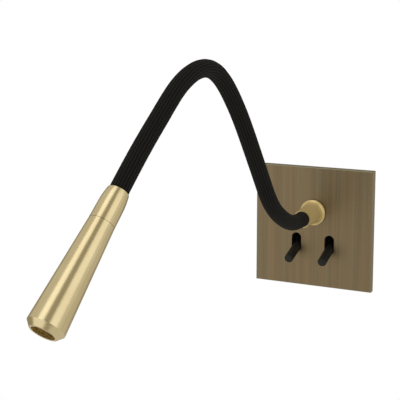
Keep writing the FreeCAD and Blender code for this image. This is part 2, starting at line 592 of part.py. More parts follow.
def driver():
    """The lamp's driver: a case on the housing's floor, its lid, board and parts."""
    low = ("-driver_width / 2", DRIVER_FRONT, "neck_height - driver_height / 2")
    block = box("Driver_block", low, ("driver_width", "driver_depth", "driver_height"))
    cavity = box("Driver_cavity", ("driver_wall - driver_width / 2", DRIVER_FRONT + " - cut_past",
                                   "neck_height - driver_height / 2 + driver_wall"),
                 ("driver_width - 2 * driver_wall", "driver_depth - driver_wall + cut_past",
                  "driver_height - 2 * driver_wall"))
    posts = []
    for number, (x, z) in enumerate((("-", "-"), ("-", "+"), ("", "-"), ("", "+"))):
        posts.append(rod("Driver_post_%d" % number, "board_post_diameter / 2", "board_post + driver_wall / 2",
                         (x + "(driver_width / 2 - driver_wall - board_post_diameter)",
                          HOUSING_FLOOR + " - driver_wall / 2",
                          "neck_height %s (driver_height / 2 - driver_wall - board_post_diameter)" % z)))
    sub_part(fuse("Driver_case", cut("Driver_shell", block, cavity), *posts), "driver_case")

    lid = box("Driver_lid_sheet", ("driver_wall - driver_width / 2 + screw_fit", DRIVER_FRONT,
                                   "neck_height - driver_height / 2 + driver_wall + screw_fit"),
              ("driver_width - 2 * driver_wall - 2 * screw_fit", "driver_wall",
               "driver_height - 2 * driver_wall - 2 * screw_fit"))
    lid_hole = rod("Driver_lid_hole", "(lead_diameter / 2 + lead_gap)", "3 * driver_wall",
                   ("0", DRIVER_FRONT + " - driver_wall", "neck_height"), TO_WALL)
    sub_part(cut("Driver_lid", lid, lid_hole), "driver_lid")

    board = box("Driver_board", ("driver_wall - driver_width / 2 + board_gap", DRIVER_BOARD,
                                 "neck_height - driver_height / 2 + driver_wall + board_gap"),
                ("driver_width - 2 * driver_wall - 2 * board_gap", "board_thickness",
                 "driver_height - 2 * driver_wall - 2 * board_gap"))
    transformer = box("Driver_transformer",
                      ("board_gap + driver_wall + board_inset - driver_width / 2",
                       DRIVER_BOARD + " - transformer_height", "neck_height - transformer_side / 2"),
                      ("transformer_side", "transformer_height", "transformer_side"))
    capacitor = rod("Driver_capacitor", "capacitor_diameter / 2", "capacitor_height",
                    ("driver_width / 2 - driver_wall - board_gap - board_inset - capacitor_diameter / 2",
                     DRIVER_BOARD, "neck_height"))
    sub_part(group("Driver_parts", board, transformer, capacitor), "driver_board")


def terminal_block():
    """Three-pole block from behind the switches to the housing's floor, two screws to a pole."""
    front = "(switch_depth + terminal_depth + block_gap)"
    block = box("Block_body", ("-block_width / 2", front, "-block_drop - block_height / 2"),
                ("block_width", HOUSING_FLOOR + " - " + front, "block_height"))
    holes, screws = [], []
    for pole in range(int(size("pole_count"))):
        x = "((%d + 0.5) / pole_count - 0.5) * block_width" % pole
        for row, z in enumerate((" + ", " - ")):
            at_z = "-block_drop%sblock_height / 4" % z
            holes.append(rod("Block_hole_%d_%d" % (pole, row), "(block_screw_diameter / 2 + running_gap)",
                             "block_screw_length + block_screw_depth + cut_past",
                             (x, front + " - cut_past", at_z), TO_WALL))
            screws.append(rod("Block_screw_%d_%d" % (pole, row), "block_screw_diameter / 2",
                              "block_screw_length", (x, front + " + block_screw_depth", at_z), TO_WALL))
    sub_part(cut("Block", block, *holes), "terminal_block")
    sub_part(group("Block_screws", *screws), "terminal_screws")


# ---------------------------------------------------------------- collar

def collar_and_stem():
    """The flared collar and the threaded stem that holds the neck to the frame."""
    bore = "(sleeve_diameter / 2 + collar_gap)"
    collar = turned("Collar",
                    [(bore, "0"), ("collar_diameter / 2", "0"), ("collar_diameter / 2", "collar_edge"),
                     ("collar_waist_diameter / 2", "collar_flare"),
                     ("collar_mouth_diameter / 2", "collar_length"), (bore, "collar_length")],
                    {2: ("collar_sweep", 1)})
    sub_part(place(collar, "0", "-" + COLLAR_BACK, "neck_height", TO_ROOM), "neck_collar")
    fibre = ring("Collar_washer", "collar_washer_diameter / 2", bore, "collar_washer")
    sub_part(place(fibre, "0", "-plate_thickness", "neck_height", TO_ROOM), "collar_washer")
    stem = tube("Stem", "sleeve_diameter / 2", SOCKET_BORE, "-stem_back", "stem_front")
    sub_part(place(stem, "0", "0", "neck_height", TO_ROOM), "neck_stem")
    washer = ring("Stem_washer", "washer_diameter / 2", "(sleeve_diameter / 2 + running_gap)",
                  "washer_thickness")
    sub_part(place(washer, "0", "0", "neck_height", TO_WALL), "stem_washer")

    corner = "(nut_flats / 2 / cos(30 deg))"
    body = doc.addObject("PartDesign::Body", "Nut")
    hexagon = [("%s * cos(%d deg)" % (corner, 60 * k), "%s * sin(%d deg)" % (corner, 60 * k))
               for k in range(6)]
    profile = outline(body, "Nut_profile", "XY_Plane",
                      [(x, "0" if k in (0, 3) else z) for k, (x, z) in enumerate(hexagon)])
    pad = body.newObject("PartDesign::Pad", "Nut_pad")
    pad.Profile = profile
    pad.setExpression("Length", bound("nut_thickness"))
    body.Tip = pad
    nut_bore = rod("Nut_bore", "(sleeve_diameter / 2 + running_gap)", "3 * nut_thickness",
                   ("0", "0", "-nut_thickness"), UPRIGHT)
    nut = cut("Stem_nut", body, nut_bore)
    sub_part(place(nut, "0", "washer_thickness", "neck_height", TO_WALL), "stem_nut")


# ---------------------------------------------------------------- neck

STRETCHES = 7
UP, DOWN = 0, 180
# Each stretch bends up or down in its own plane, which its roll about the
# neck's axis sets.
ROLLS = (UP, UP, DOWN, DOWN, DOWN, DOWN, DOWN)


def neck_frames():
    """The places where the stretches begin, and the end of the last: x along
    the neck, z up in the plane that it bends in."""
    frame = FreeCAD.Placement(
        FreeCAD.Vector(0, -size(COLLAR_FRONT), size("neck_height")),
        FreeCAD.Rotation(FreeCAD.Vector(0, 0, 1), -90))
    frames = [frame]
    for number in range(1, STRETCHES + 1):
        turn = math.radians(size("turn_angle_%d" % number))
        radius = size("bend_%d" % number)
        straight = (size("stretch_%d" % number) - radius * turn) / 2
        sign = 1 if ROLLS[number - 1] == UP else -1
        along = straight + radius * math.sin(turn) + straight * math.cos(turn)
        rise = sign * (radius * (1 - math.cos(turn)) + straight * math.sin(turn))
        step = FreeCAD.Placement(FreeCAD.Vector(along, 0, rise),
                                 FreeCAD.Rotation(FreeCAD.Vector(0, 1, 0), -sign * math.degrees(turn)))
        side = {1: size("side_angle_low"), 6: size("side_angle_high")}.get(number, 0.0)
        swerve = FreeCAD.Placement(FreeCAD.Vector(),
                                   FreeCAD.Rotation(FreeCAD.Vector(0, 0, 1), -side))
        frame = frame * step * swerve
        frames.append(frame)
    return frames


def bent_rod(name, number, radius, before, after):
    """A rod along one stretch in its own frame: a straight, an arc that bends
    toward +Z, and a straight, run on past its ends as told."""
    straight = "((stretch_%d - bend_%d * turn_angle_%d * pi / 180) / 2)" % (number, number, number)
    turn = "(turn_angle_%d * 1 deg)" % number
    bend = "bend_%d" % number
    first = rod(name + "_first", radius, straight + " + " + before, ("-" + before, "0", "0"), TO_RIGHT)
    arc = primitive("Torus", name + "_arc", (straight, "0", bend),
                    FreeCAD.Rotation(FreeCAD.Matrix(0, 1, 0, 0, 0, 0, -1, 0, -1, 0, 0, 0, 0, 0, 0, 1)),
                    Radius1=bend, Radius2=radius, Angle3="turn_angle_%d" % number)
    heading = FreeCAD.Rotation(FreeCAD.Vector(0, 1, 0), 90 - size("turn_angle_%d" % number))
    last = rod(name + "_last", radius, straight + " + " + after,
               ("%s + %s * sin(%s)" % (straight, bend, turn), "0", "%s * (1 - cos(%s))" % (bend, turn)),
               heading)
    return fuse(name, first, arc, last)


def stretch_tools(number):
    """What shapes a stretch's ends: a round hollow behind its start, which
    fits over the round end of the stretch before, and its own round end."""
    tools = []
    reach = "sleeve_diameter"
    if number > 1:
        side = {2: " + side_angle_low", 7: " + side_angle_high"}.get(number, "")
        rim = "(sleeve_diameter / 2 * tan((neck_swing%s) * 1 deg) + joint_gap)" % side
        tools.append(rod("Rim_%d" % number, reach, reach + " + " + rim, ("-" + reach, "0", "0"), TO_RIGHT))
        tools.append(primitive("Sphere", "Hollow_%d" % number, Radius="(sleeve_diameter / 2 + joint_gap)"))
    if number < STRETCHES:
        straight = "((stretch_%d - bend_%d * turn_angle_%d * pi / 180) / 2)" % (number, number, number)
        turn = "(turn_angle_%d * 1 deg)" % number
        bend = "bend_%d" % number
        end = ("%s + %s * sin(%s) + %s * cos(%s)" % (straight, bend, turn, straight, turn), "0",
               "%s * (1 - cos(%s)) + %s * sin(%s)" % (bend, turn, straight, turn))
        heading = FreeCAD.Rotation(FreeCAD.Vector(0, 1, 0), 90 - size("turn_angle_%d" % number))
        beyond = rod("Beyond_%d" % number, reach, "2 * " + reach, end, heading)
        dome = primitive("Sphere", "Dome_%d" % number, end, Radius="sleeve_diameter / 2")
        tools.append(cut("End_%d" % number, beyond, dome))
    return tools


def neck():
    """Sleeve, core and lead of every stretch, and the place of the head."""
    frames = neck_frames()
    dome = "sleeve_diameter"
    for number in range(1, STRETCHES + 1):
        roll = FreeCAD.Placement(FreeCAD.Vector(),
                                 FreeCAD.Rotation(FreeCAD.Vector(1, 0, 0), ROLLS[number - 1]))
        tools = stretch_tools(number)
        ends = {"sleeve": ("0", dome), "core": ("0", dome), "lead": ("0", dome)}
        if number == 1:
            ends = {"sleeve": ("(%s - stem_front)" % COLLAR_FRONT, dome),
                    "core": ("(%s - frame_sheet)" % COLLAR_FRONT, dome),
                    "lead": ("(%s + %s)" % (COLLAR_FRONT, DRIVER_BOARD), dome)}
        if number == STRETCHES:
            ends = {"sleeve": ("0", "sleeve_entry"), "core": ("0", "core_entry"),
                    "lead": ("0", SINK_END)}
        outer = {"sleeve": "sleeve_diameter / 2", "core": "core_diameter / 2", "lead": "lead_diameter / 2"}
        inner = {"sleeve": SOCKET_BORE, "core": "core_bore / 2"}
        for piece, (before, after) in ends.items():
            name = "%s_%d" % (piece.title(), number)
            solid = bent_rod(name + "_outer", number, outer[piece], before, after)
            hollow = []
            if piece in inner:
                hollow = [bent_rod(name + "_inner", number, inner[piece], before, after)]
            made = cut(name, solid, *hollow, *tools)
            made.Placement = frames[number - 1] * roll
            sub_part(made, "neck_%s_%d" % (piece, number) if piece != "lead" else "led_lead_%d" % number)
    return frames


# ---------------------------------------------------------------- head

def head(frame):
    """The slim head: its cap, shell, socket, heat sink, lamp and lens."""
    # The head's own Z axis carries on where the neck's x axis ends.
    seat = frame * FreeCAD.Placement(FreeCAD.Vector(), TO_RIGHT)

    def fit(made, label):
        made.Placement = seat
        return sub_part(made, label)

    entry = "(sleeve_diameter / 2 + collar_gap)"
    socket_seat = "(%s + screw_fit)" % SOCKET_OUTER
    fit(turned("Cap", [(entry, "0"), ("cap_lip_diameter / 2", "0"),
                       ("cap_shoulder_diameter / 2", "cap_shoulder"), ("seam_diameter / 2", "cap_length"),
                       (socket_seat, "cap_length"), (socket_seat, "sleeve_entry"), (entry, "sleeve_entry")],
               {1: ("cap_sweep", -1)}), "rear_cap")
    fit(tube("Socket", SOCKET_OUTER, SOCKET_BORE, "sleeve_entry", "socket_end"), "neck_socket")
    bore = "mouth_diameter / 2"
    fit(turned("Shell",
               [(socket_seat, "cap_length + seam_gap"), ("seam_diameter / 2", "cap_length + seam_gap"),
                ("head_diameter / 2", "head_length - nose_length"), ("nose_diameter / 2", "head_length"),
                (bore, "head_length"), (bore, "socket_end"), (socket_seat, "socket_end")]), "head_shell")
    slide = "(mouth_diameter / 2 - mouth_fit)"
    barrel = tube("Sink_barrel", slide, "(lead_diameter / 2 + lead_gap)", "sink_start", SINK_END)
    grooves = []
    for number in range(int(size("fin_count"))):
        groove = box("Sink_groove_%d" % number, ("0", "0", "0"),
                     ("fin_depth + cut_past", "fin_groove", SINK_END + " - sink_start - 2 * fin_depth"))
        angle = 360.0 * number / size("fin_count")
        around = FreeCAD.Rotation(FreeCAD.Vector(0, 0, 1), angle)
        start = around.multVec(FreeCAD.Vector(size(slide + " - fin_depth"), -size("fin_groove") / 2, 0))
        start.z = size("sink_start - cut_past")
        groove.Placement = FreeCAD.Placement(start, around)
        grooves.append(groove)
    fit(cut("Sink", barrel, *grooves), "heat_sink")
    fit(rod("Led_board", slide, "led_board_thickness", turn=UPRIGHT), "led_board")
    chip = box("Chip", ("0", "0", "0"), ("chip_side", "chip_side", "chip_thickness"))
    fit(chip, "led_chip")
    fit(turned("Reflector", [("reflector_rear_diameter / 2", LED_FACE), (slide, LED_FACE), (slide, LENS_BACK),
                             ("reflector_front_diameter / 2", LENS_BACK)]), "reflector")
    lens = rod("Lens", slide, "lens_thickness", turn=UPRIGHT)
    fit(lens, "lens")
    fit(tube("Lens_ring", slide, "ring_bore / 2", RING_BACK, RING_BACK + " + ring_thickness"), "lens_ring")
    for made, along, aside in ((doc.getObject("Led_board"), SINK_END, "0"),
                               (chip, LED_FACE, "-chip_side / 2"), (lens, LENS_BACK, "0")):
        shift = FreeCAD.Vector(size(aside), size(aside), size(along))
        made.Placement = seat * FreeCAD.Placement(shift, UPRIGHT)


# ---------------------------------------------------------------- assembly

front_plate()
plate_magnets()
support_frame()
rear_housing()
driver()
terminal_block()
switch("left", "-")
switch("right", "")
switch_pins()
collar_and_stem()
head(neck()[-1])

doc.recompute()

faults = [made.Name + " " + str(made.State) for made in doc.Objects
          if "Invalid" in made.State or "Error" in made.State]
for made in parts:
    if made.Shape.isNull() or not made.Shape.isValid():
        faults.append(made.Label + " has no valid shape")
if faults:
    raise RuntimeError("; ".join(faults))

os.makedirs("parts", exist_ok=True)
for made in parts:
    made.Shape.exportStep("parts/%s.step" % made.Label)
    print("%-26s %2d solids %10.1f mm3" % (made.Label, len(made.Shape.Solids), made.Shape.Volume))
for number, frame in enumerate(neck_frames()):
    x, y, z = frame.Base
    print("neck place %d: (%.2f, %.2f, %.2f)" % (number, x, y, z))
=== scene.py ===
# %% [markdown]
# # Dressing a wall reading lamp
# The lamp's solids come packed: a square plate with two toggle switches, a
# gooseneck in a braided sleeve, and a slim turned head. This lesson gives each
# surface its finish, weaves a sleeve that bends with the neck, lights the lamp
# softly and points a camera at it. Lengths are in metres, but distances along
# the neck and the sizes of grains are given in millimetres.

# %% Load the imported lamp
import json
import math

import bmesh
import bpy
from mathutils import Euler, Matrix, Vector


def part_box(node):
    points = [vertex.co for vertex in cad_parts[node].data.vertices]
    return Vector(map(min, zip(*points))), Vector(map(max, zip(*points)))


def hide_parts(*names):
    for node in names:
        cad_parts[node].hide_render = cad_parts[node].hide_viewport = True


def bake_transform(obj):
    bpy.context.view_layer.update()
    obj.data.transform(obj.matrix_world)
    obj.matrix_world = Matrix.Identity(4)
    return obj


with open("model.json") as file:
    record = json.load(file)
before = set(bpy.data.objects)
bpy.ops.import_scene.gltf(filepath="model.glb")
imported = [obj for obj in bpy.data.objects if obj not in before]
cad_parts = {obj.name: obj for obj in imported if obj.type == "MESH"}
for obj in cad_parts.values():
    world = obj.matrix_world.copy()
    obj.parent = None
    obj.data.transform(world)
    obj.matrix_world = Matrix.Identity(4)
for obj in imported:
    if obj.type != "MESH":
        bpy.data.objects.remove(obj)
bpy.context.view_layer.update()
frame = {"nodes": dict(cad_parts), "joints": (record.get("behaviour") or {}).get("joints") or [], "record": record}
nodes = frame["nodes"]
MM = 0.001

# %% [markdown]
# ## The camera
# A product photograph is taken with a long lens from a little above, so that
# the square plate stays nearly square. The camera stands to the right of the
# lamp and looks down at it by about eight degrees. Its view is shifted rather
# than tilted further, because a shift keeps upright edges upright.

# %% Camera at the photograph's angle
CAMERA_PLACE = Vector((0.2002, -0.6162, 0.1510))
CAMERA_YAW = math.radians(24.81)
CAMERA_PITCH = math.radians(8.26)
CAMERA_SHIFT = 0.15
CAMERA_NEAREST = 0.01
SENSOR_WIDTH = 36.0  # mm
FOCAL_LENGTH = 88.9  # mm

camera = bpy.data.objects.new("camera", bpy.data.cameras.new("camera"))
bpy.context.scene.collection.objects.link(camera)
camera.data.sensor_width = SENSOR_WIDTH
camera.data.lens = FOCAL_LENGTH
camera.data.shift_y = -CAMERA_SHIFT
camera.data.clip_start = CAMERA_NEAREST
camera.location = CAMERA_PLACE
camera.rotation_euler = Euler((math.radians(90) - CAMERA_PITCH, 0, CAMERA_YAW))
bpy.context.scene.camera = camera
print("camera stands", round(CAMERA_PLACE.length, 3), "m from the plate")

# %% [markdown]
# ## The neck's route
# The gooseneck leaves the wall level, turns up, arches over and comes down to
# the head. It is described the way a pipe bender would: seven stretches, each
# with a length, a bend radius and an angle, and two small turns to the left.
# Walking along it in half-millimetre steps gives a frame at every distance,
# and the rings of sleeve, core and lead stand on those frames. A wound steel
# tube eases into its bends, so the turning is averaged over a short length.
# That would shift the head a little, so the shift is shared out on the way.

# %% Stretches of the neck
STRETCHES = [  # length and bend radius in mm, degrees turned up
    (37.4, 47.4, 25.6),
    (28.0, 33.0, 34.7),
    (44.0, 400.0, -0.8),
    (34.5, 137.0, -11.1),
    (40.2, 27.8, -66.3),
    (28.0, 48.3, -22.5),
    (54.4, 344.0, -4.6),
]
PLACES = [sum(length for length, radius, turn in STRETCHES[:k])
          for k in range(len(STRETCHES) + 1)]
NECK_LENGTH = PLACES[-1]
LEFT_TURNS = ((PLACES[1], 6.4), (PLACES[6], 4.3))  # where in mm, degrees to the left
LEFT_TURN_LENGTH = 7.0
EASE = 12
print("neck from collar to head:", round(NECK_LENGTH, 1), "mm")


def ramp(distance, start, length):
    """Goes from 0 to 1 over a length that begins at start."""
    return min(max((distance - start) / length, 0.0), 1.0)


def turned_up(distance):
    """Degrees that the neck has turned up, this far along it."""
    total = 0.0
    for (length, radius, turn), start in zip(STRETCHES, PLACES):
        arc = radius * math.radians(abs(turn))
        total += turn * ramp(distance, start + (length - arc) / 2, arc)
    return total


def turned_left(distance):
    """Degrees that the neck has turned to the left, this far along it."""
    return sum(turn * ramp(distance, place - LEFT_TURN_LENGTH / 2, LEFT_TURN_LENGTH)
               for place, turn in LEFT_TURNS)


def eased(turned, distance):
    """What has turned here, averaged over EASE mm of neck on either side."""
    offsets = range(-EASE, EASE + 1)
    return sum(turned(distance + offset) for offset in offsets) / len(offsets)


# %% Walk along the neck
COLLAR_MOUTH = Vector((0, -28.0, 10.0))
STEP = 0.5
ROUTE_START = -56.0  # behind the collar's mouth, for the lead
ROUTE_END = NECK_LENGTH + 62.0  # past the neck, for the lead in the head


def walk(up_at, left_at):
    """Frames along the neck, one a step: x points along it, z up."""
    out_of_wall = Matrix.Rotation(math.radians(-90), 4, "Z")
    here = (Matrix.Translation(COLLAR_MOUTH) @ out_of_wall
            @ Matrix.Translation((ROUTE_START, 0, 0)))
    frames = [here]
    for number in range(round((ROUTE_END - ROUTE_START) / STEP)):
        start = ROUTE_START + number * STEP
        up = math.radians(up_at(start + STEP) - up_at(start))
        left = math.radians(left_at(start + STEP) - left_at(start))
        half = Matrix.Rotation(-up / 2, 4, "Y") @ Matrix.Rotation(-left / 2, 4, "Z")
        here = here @ half @ Matrix.Translation((STEP, 0, 0)) @ half
        frames.append(here)
    return frames


def step_number(distance):
    """The step nearest to a distance from the collar's mouth."""
    return round((distance - ROUTE_START) / STEP)


plain_route = walk(turned_up, turned_left)
ROUTE = walk(lambda distance: eased(turned_up, distance),
             lambda distance: eased(turned_left, distance))
neck_end = step_number(NECK_LENGTH)
drift = plain_route[neck_end].translation - ROUTE[neck_end].translation
for number, here in enumerate(ROUTE):
    here.translation += drift * ramp(ROUTE_START + number * STEP, 0, NECK_LENGTH)
print("easing moved the head by", round(drift.length, 2), "mm, now shared along the neck")


def at(distance):
    """The frame of the route nearest to a distance from the collar's mouth."""
    return ROUTE[step_number(distance)]


bends = [joint for joint in frame["joints"] if joint["name"].startswith("bend")]
for joint, place in zip(bends, PLACES[1:]):
    miss = (at(place).translation * MM - Vector(joint["pos_m"])).length
    print(joint["name"], "is", round(miss / MM, 2), "mm from the route")

# %% [markdown]
# ## Tubes that follow the route
# A braided sleeve is a tube with ribs along it, a gooseneck's core is a tube
# with a groove wound round it, and the lead is a plain one. All three start as
# a circle of edges. Each ring is extruded from the one before and put on the
# next frame, and the skin gets its wall at the end. The UV map counts turns
# round the tube and metres along it, so that the weave follows the neck
# wherever it bends.

# %% Extrude a ring along the neck
RIM_ANGLE = math.radians(60)  # sharper edges than this stay sharp


def extrude_ring(mesh, ring, edges):
    """Extrudes a ring's edges. The new ring is in the old one's order."""
    grown = bmesh.ops.extrude_edge_only(mesh, edges=edges)["geom"]
    fresh = {item for item in grown if isinstance(item, bmesh.types.BMVert)}
    ring = [next(edge.other_vert(vert) for edge in vert.link_edges
                 if edge.other_vert(vert) in fresh) for vert in ring]
    edges = [item for item in grown
             if isinstance(item, bmesh.types.BMEdge) and fresh.issuperset(item.verts)]
    return ring, edges


def follow(name, start, end, stride, sides, shape, wall):
    """A tube from start to end with this wall, in mm. shape(turn, distance) is
    its outer radius."""
    mesh = bmesh.new()
    uv = mesh.loops.layers.uv.new("along")
    ring = list(bmesh.ops.create_circle(mesh, segments=sides, radius=1.0)["verts"])
    bmesh.ops.rotate(mesh, verts=ring, matrix=Matrix.Rotation(math.radians(90), 3, "Y"))
    unit = [vert.co.copy() for vert in ring]
    edges = list(mesh.edges)
    spots = {}
    count = round((end - start) / stride)
    for row in range(count + 1):
        distance = start + (end - start) * row / count
        here = at(distance)
        if row:
            ring, edges = extrude_ring(mesh, ring, edges)
        for column, vert in enumerate(ring):
            vert.co = here @ (unit[column] * shape(column / sides, distance))
            spots[vert] = (column, distance)
    for face in mesh.faces:
        closes_ring = {spots[vert][0] for vert in face.verts} == {0, sides - 1}
        for loop in face.loops:
            column, distance = spots[loop.vert]
            turn = 1.0 if closes_ring and column == 0 else column / sides
            loop[uv].uv = (turn, distance * MM)
        face.smooth = True
    bmesh.ops.recalc_face_normals(mesh, faces=mesh.faces)
    bmesh.ops.solidify(mesh, geom=list(mesh.faces), thickness=wall)
    bmesh.ops.recalc_face_normals(mesh, faces=mesh.faces)
    for edge in mesh.edges:
        edge.smooth = edge.calc_face_angle(0) < RIM_ANGLE
    bmesh.ops.scale(mesh, vec=(MM, MM, MM), verts=mesh.verts)
    piece = bpy.data.objects.new(name, bpy.data.meshes.new(name))
    mesh.to_mesh(piece.data)
    mesh.free()
    bpy.context.scene.collection.objects.link(piece)
    return piece


# %% [markdown]
# ## Where each tube bends
# The neck bends at six places between its stretches. Each tube is cut into six
# pieces at the middles of the stretches, and the pieces take the place of the
# tube's imported nodes, which are hidden.

# %% Cut one tube into six pieces
CHAIN = ["wall_base", "neck_2", "neck_3", "neck_4", "neck_5", "neck_6", "reading_head"]
MIDDLES = [(PLACES[k] + PLACES[k + 1]) / 2 for k in range(len(STRETCHES))]


def bending_tube(name, node, start_at, end_at, stride, sides, shape, wall):
    """A tube in six pieces that stands for a node of each stretch."""
    cuts = [start_at, *MIDDLES[1:-1], end_at]
    pieces = []
    for number in range(1, len(CHAIN)):
        start, end = (round(cut / STEP) * STEP for cut in cuts[number - 1:number + 1])
        piece = follow("%s_%d" % (name, number), start, end, stride, sides, shape, wall)
        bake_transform(piece)
        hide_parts("%s_%d" % (node, number))
        pieces.append(piece)
    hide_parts("%s_%d" % (node, len(STRETCHES)))
    print(name, "pieces have", sum(len(piece.data.polygons) for piece in pieces), "faces")
    return pieces


# %% [markdown]
# ## The braided sleeve
# The sleeve is a tube of black polyester yarn, braided with a rib that runs
# along it. The ribs are real relief, because they show at the sleeve's edge.
# The stitches across them are finer and are left to the material.

# %% Sleeve with ribs along it
SLEEVE_START, SLEEVE_END = -14.0, NECK_LENGTH + 4.0
SLEEVE_RADIUS = 4.9
SLEEVE_RIBS = 20
SIDES_PER_RIB = 6
RIB_HEIGHT = 0.25
SLEEVE_WALL = 0.6


def ribbed(turn, distance):
    """The sleeve's radius: a rounded rib, then a groove."""
    return SLEEVE_RADIUS - RIB_HEIGHT * (0.5 - 0.5 * math.cos(2 * math.pi * SLEEVE_RIBS * turn))


sleeve = bending_tube("braided_sleeve", "neck_sleeve",
                      SLEEVE_START, SLEEVE_END, stride=1.0,
                      sides=SIDES_PER_RIB * SLEEVE_RIBS, shape=ribbed, wall=SLEEVE_WALL)

# %% [markdown]
# ## The core and the lead
# Inside the sleeve a steel strip is wound into a stiff tube, which is what
# holds the neck where it is put, and the lamp's lead runs through it. Both are
# hidden, but a service view with the sleeve off shows them, so they get their
# form too: the core's groove climbs one pitch with every turn.

# %% Wound core and lead
CORE_START, CORE_END = -26.5, NECK_LENGTH + 20.0
CORE_RADIUS = 4.0
CORE_PITCH = 2.5
CORE_GROOVE = 0.35
CORE_WALL = 1.2
LEAD_START, LEAD_END = -53.0, NECK_LENGTH + 59.5
LEAD_RADIUS = 1.7
LEAD_WALL = 0.5


def wound(turn, distance):
    """The core's radius, with a groove that climbs as it goes round."""
    windings = distance / CORE_PITCH + turn
    return CORE_RADIUS - CORE_GROOVE * (0.5 - 0.5 * math.cos(2 * math.pi * windings))


def plain(turn, distance):
    """The lead's radius."""
    return LEAD_RADIUS


core = bending_tube("wound_core", "neck_core", CORE_START, CORE_END,
                    stride=0.5, sides=24, shape=wound, wall=CORE_WALL)
lead = bending_tube("lamp_lead", "led_lead", LEAD_START, LEAD_END,
                    stride=2.0, sides=16, shape=plain, wall=LEAD_WALL)

# %% [markdown]
# ## Helpers for finishes
# A finish is a small tree of shader nodes. One helper turns the usual web
# colours into the linear values that a renderer works in, one starts a
# material with its constant values, and one adds a node with its settings and
# links. Two short ones link the shader and lay a grain in a direction.

# %% Colours, a new material, a node
def colour(web):
    """An sRGB web colour as linear values with an alpha of 1."""
    parts = [int(web[k:k + 2], 16) / 255 for k in (1, 3, 5)]
    linear = [c / 12.92 if c <= 0.04045 else ((c + 0.055) / 1.055) ** 2.4 for c in parts]
    return (*linear, 1.0)


def material(name, **sockets):
    """A new material whose shader has these constant values."""
    made = bpy.data.materials.new(name)
    made.use_nodes = True
    shader = made.node_tree.nodes["Principled BSDF"]
    for socket, value in sockets.items():
        shader.inputs[socket.replace("_", " ")].default_value = value
    return made


def add(made, kind, links=None, stops=None, **settings):
    """Adds a node to a material, sets it up, and links or fills its inputs."""
    node = made.node_tree.nodes.new("ShaderNode" + kind)
    for name, value in settings.items():
        setattr(node, name, value)
    for name, value in (links or {}).items():
        if isinstance(value, bpy.types.NodeSocket):
            made.node_tree.links.new(value, node.inputs[name])
        else:
            node.inputs[name].default_value = value
    if stops:
        elements = node.color_ramp.elements
        for number, (position, web) in enumerate(stops):
            element = elements[number] if number < 2 else elements.new(position)
            element.position = position
            element.color = colour(web)
    return node


def link(made, **sockets):
    """Links outputs to the sockets of a material's shader."""
    shader = made.node_tree.nodes["Principled BSDF"]
    for socket, output in sockets.items():
        made.node_tree.links.new(output, shader.inputs[socket.replace("_", " ")])


def grain(made, size_mm, at_point=(0, 0, 0), turn=(0, 0, 0), detail=2.0):
    """Noise on Object coordinates whose features have this size in mm along
    three axes, from a point and turned as told."""
    where = add(made, "TexCoord").outputs["Object"]
    size = tuple(length * MM for length in size_mm)
    placed = add(made, "Mapping", {"Vector": where, "Location": at_point, "Rotation": turn,
                                   "Scale": size}, vector_type="TEXTURE")
    noise = add(made, "TexNoise", {"Vector": placed.outputs["Vector"], "Scale": 1.0,
                                   "Detail": detail})
    return noise.outputs["Fac"]


# %% [markdown]
# ## Antique brass, brushed upright
# The plate is brass that was darkened in a bath and then brushed upright, so
# it shows fine streaks that run from top to bottom, some broad and soft. Real
# brush lines are about 0.1 mm apart, too fine to show here, so they are drawn
# 0.8 mm apart. A band along the edges, on the bevel and the side faces, is painted paler as a painted highlight.

# %% Finish of the plate
FINE_LINES = (0.8, 0.8, 90.0)  # mm along x, y and z
BROAD_STREAKS = (5.0, 5.0, 240.0)
PATINA_STREAKS = (6.0, 6.0, 160.0)
BROAD_FROM = (13 * MM, 0, 0)  # moved aside, so that the streaks differ
PATINA_FROM = (31 * MM, 0, 0)
PATINA_SHARE = 0.3
PLATE_HALF = 40.0 * MM
# How far in from the plate's edges the painted highlight reaches
EDGE_HIGHLIGHT_WIDTH = 0.6 * MM

antique_brass = material("antique_brass_brushed", Metallic=1.0, Roughness=0.42)
fine = grain(antique_brass, FINE_LINES)
broad = grain(antique_brass, BROAD_STREAKS, at_point=BROAD_FROM)
patina = grain(antique_brass, PATINA_STREAKS, at_point=PATINA_FROM)
half = add(antique_brass, "Math", {0: broad, 1: 0.5}, operation="MULTIPLY")
streaks = add(antique_brass, "Math", {0: fine, 1: 0.5, 2: half.outputs[0]},
              operation="MULTIPLY_ADD")
tone = add(antique_brass, "ValToRGB", {"Fac": streaks.outputs[0]},
           stops=[(0.35, "#83745B"), (0.65, "#9D8C6C")])
cast = add(antique_brass, "ValToRGB", {"Fac": patina},
           stops=[(0.4, "#957E67"), (0.6, "#8B826F")])
bronzed = add(antique_brass, "MixRGB", {"Fac": PATINA_SHARE, "Color1": tone.outputs["Color"],
                                        "Color2": cast.outputs["Color"]})
# Painted highlight: the band along the edges, bevel and side faces, is mixed towards a paler colour
spot = add(antique_brass, "TexCoord").outputs["Object"]
across = add(antique_brass, "SeparateXYZ", {"Vector": spot})
sides = [add(antique_brass, "Math", {0: across.outputs[axis]}, operation="ABSOLUTE").outputs[0]
         for axis in ("X", "Z")]
outer = add(antique_brass, "Math", {0: sides[0], 1: sides[1]}, operation="MAXIMUM")
edge_highlight = add(antique_brass, "MapRange", {"Value": outer.outputs[0],
                                       "From Min": PLATE_HALF - EDGE_HIGHLIGHT_WIDTH,
                                       "From Max": PLATE_HALF - 0.4 * EDGE_HIGHLIGHT_WIDTH})
edge = add(antique_brass, "MixRGB", {"Fac": edge_highlight.outputs["Result"],
                                     "Color1": bronzed.outputs["Color"],
                                     "Color2": colour("#A39B86")})
rough = add(antique_brass, "MapRange", {"Value": fine, "To Min": 0.36, "To Max": 0.52})
lines = add(antique_brass, "Bump", {"Height": fine, "Strength": 0.25, "Distance": 0.02 * MM})
link(antique_brass, Base_Color=edge.outputs["Color"], Roughness=rough.outputs["Result"],
     Normal=lines.outputs["Normal"])
